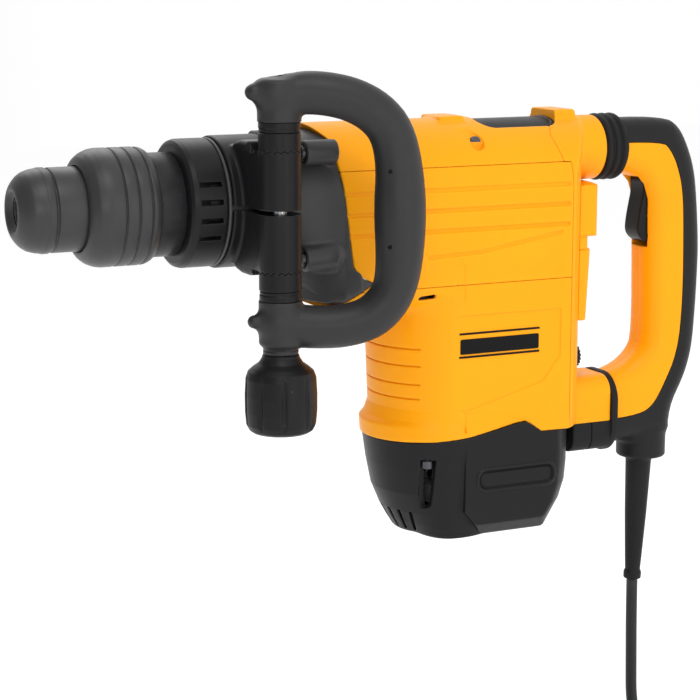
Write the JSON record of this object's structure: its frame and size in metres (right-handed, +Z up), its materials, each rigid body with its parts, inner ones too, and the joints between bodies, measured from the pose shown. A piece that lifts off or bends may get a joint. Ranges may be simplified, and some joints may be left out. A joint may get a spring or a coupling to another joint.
{
  "type": "demolition hammer",
  "caption": "Electric demolition hammer with a round quick-release tool holder, yellow motor housing, loop side handle, floating D rear handle and a mains cord.",
  "frame": {"origin": "centre of the tool bore's mouth at the nose, on the impact axis", "axes": "+X along the impact axis to the rear handle, +Z up with the motor hanging down, -Y the side that the side handle stands on"},
  "size_m": [0.566, 0.2097, 0.6058],
  "materials": {
    "yellow_plastic": "satin gloss moulded housing plastic",
    "black_plastic": "satin black moulded plastic",
    "black_rubber": "soft matt rubber",
    "cast_housing": "black powder coated magnesium casting",
    "steel": "turned and ground steel",
    "dark_steel": "hardened, black oxide steel",
    "laminations": "stacked electrical steel",
    "copper": "enamelled copper and bronze",
    "aluminium": "as cast",
    "grey_plastic": "glass filled plastic",
    "cord_sheath": "matt rubber cable sheath",
    "plated_pins": "nickel plated brass",
    "badge": "blank moulded badge"
  },
  "bodies": {
    "hammer_body": {"bearings": "steel", "gearbox_housing": "cast_housing", "housing_screws": "dark_steel", "crankcase_lid": "aluminium", "cylinder": "steel", "stator": "laminations", "carbon_brushes": "grey_plastic", "brush_bridge": "grey_plastic", "top_cover": "yellow_plastic", "top_insert": "black_plastic", "side_cover_left": "yellow_plastic", "side_cover_right": "yellow_plastic", "motor_housing": "yellow_plastic", "badges": "badge", "motor_end_cap": "black_plastic", "rear_housing": "yellow_plastic", "rear_cover": "yellow_plastic", "control_module": "grey_plastic", "handle_pivot_pin": "steel", "lower_boot": "black_rubber"},
    "spindle": {"nose_cap": "black_rubber", "tool_holder": "dark_steel", "neck_sleeve": "black_plastic", "index_ring": "black_plastic"},
    "collar": {"release_collar": "black_plastic", "collar_spring": "steel"},
    "roller_upper": {"locking_roller_upper": "steel"},
    "roller_lower": {"locking_roller_lower": "steel"},
    "beat_piece": {"beat_piece": "dark_steel"},
    "striker": {"striker": "dark_steel"},
    "piston": {"piston": "aluminium"},
    "con_rod": {"con_rod": "steel"},
    "crank": {"crankshaft": "steel"},
    "armature": {"armature_shaft": "steel", "armature_core": "laminations", "commutator": "copper", "cooling_fan": "black_plastic"},
    "speed_dial": {"speed_dial": "black_plastic"},
    "rear_handle": {"handle_shell_left": "yellow_plastic", "handle_shell_right": "yellow_plastic", "handle_overmold": "black_rubber", "handle_bellows": "black_rubber", "isolator_spring": "steel", "switch_body": "grey_plastic", "strain_relief": "black_rubber", "mains_cord": "cord_sheath", "cord_coil": "cord_sheath", "coil_tie": "black_plastic", "plug_lead": "cord_sheath", "plug_body": "black_plastic", "plug_pins": "plated_pins"},
    "trigger": {"trigger": "black_plastic"},
    "side_handle": {"clamp_upper": "black_plastic", "clamp_lower": "black_plastic", "clamp_hinge_pin": "dark_steel", "clamp_bolt": "steel"},
    "side_loop": {"side_loop": "black_plastic", "column_rings": "black_rubber"},
    "knob": {"knob": "black_plastic", "knob_nut": "steel"}
  },
  "joints": [
    {"name": "side_handle_swing", "type": "hinge", "parent": "hammer_body", "child": "side_handle", "pos_m": [0.163, 0, 0], "axis": [1, 0, 0], "range_deg": [-180, 15]},
    {"name": "loop_pivot", "type": "hinge", "parent": "side_handle", "child": "side_loop", "pos_m": [0.163, -0.076, 0], "axis": [0, 0, 1], "range_deg": [-140, 0]},
    {"name": "handle_float", "type": "hinge", "parent": "hammer_body", "child": "rear_handle", "pos_m": [0.486, 0, -0.172], "axis": [0, 1, 0], "range_deg": [-1.5, 1.5], "stiffness_Nm_per_rad": 300, "deforming": ["handle_bellows", "isolator_spring"]},
    {"name": "collar_pull", "type": "slide", "parent": "spindle", "child": "collar", "axis": [1, 0, 0], "range_m": [0, 0.008], "stiffness_N_per_m": 1500, "springref_m": -0.01, "deforming": ["collar_spring"]},
    {"name": "roller_upper_lift", "type": "slide", "parent": "spindle", "child": "roller_upper", "axis": [0, 0, 1], "range_m": [0, 0.0026]},
    {"name": "roller_lower_lift", "type": "slide", "parent": "spindle", "child": "roller_lower", "axis": [0, 0, -1], "range_m": [0, 0.0026]},
    {"name": "chisel_index", "type": "hinge", "parent": "hammer_body", "child": "spindle", "pos_m": [0.07, 0, 0], "axis": [1, 0, 0], "continuous": true},
    {"name": "knob_turn", "type": "hinge", "parent": "side_handle", "child": "knob", "pos_m": [0.163, -0.076, -0.13], "axis": [0, 0, 1], "range_deg": [0, 720]},
    {"name": "trigger_pull", "type": "hinge", "parent": "rear_handle", "child": "trigger", "pos_m": [0.511, 0, -0.002], "axis": [0, -1, 0], "range_deg": [0, 7], "stiffness_Nm_per_rad": 0.4, "springref_deg": -17.19},
    {"name": "speed_dial_turn", "type": "hinge", "parent": "hammer_body", "child": "speed_dial", "pos_m": [0.44, 0, -0.137], "axis": [1, 0, 0], "range_deg": [0, 300]},
    {"name": "armature_spin", "type": "hinge", "parent": "hammer_body", "child": "armature", "pos_m": [0.326, 0, -0.13], "axis": [0, 0, 1], "continuous": true},
    {"name": "crank_spin", "type": "hinge", "parent": "hammer_body", "child": "crank", "pos_m": [0.366, 0, -0.02], "axis": [0, 0, 1], "continuous": true},
    {"name": "con_rod_swing", "type": "hinge", "parent": "crank", "child": "con_rod", "pos_m": [0.354, 0, 0], "axis": [0, 0, 1], "continuous": true},
    {"name": "piston_stroke", "type": "slide", "parent": "hammer_body", "child": "piston", "axis": [1, 0, 0], "range_m": [0, 0.024]},
    {"name": "striker_flight", "type": "slide", "parent": "hammer_body", "child": "striker", "axis": [1, 0, 0], "range_m": [0, 0.012]},
    {"name": "beat_piece_travel", "type": "slide", "parent": "spindle", "child": "beat_piece", "axis": [1, 0, 0], "range_m": [0, 0.011]}
  ],
  "couplings": [
    {"joint": "roller_upper_lift", "follows": "collar_pull", "ratio": 0.325},
    {"joint": "roller_lower_lift", "follows": "collar_pull", "ratio": 0.325},
    {"joint": "crank_spin", "follows": "armature_spin", "ratio": -0.33333},
    {"joint": "con_rod_swing", "follows": "armature_spin", "ratio": 0.33333}
  ]
}
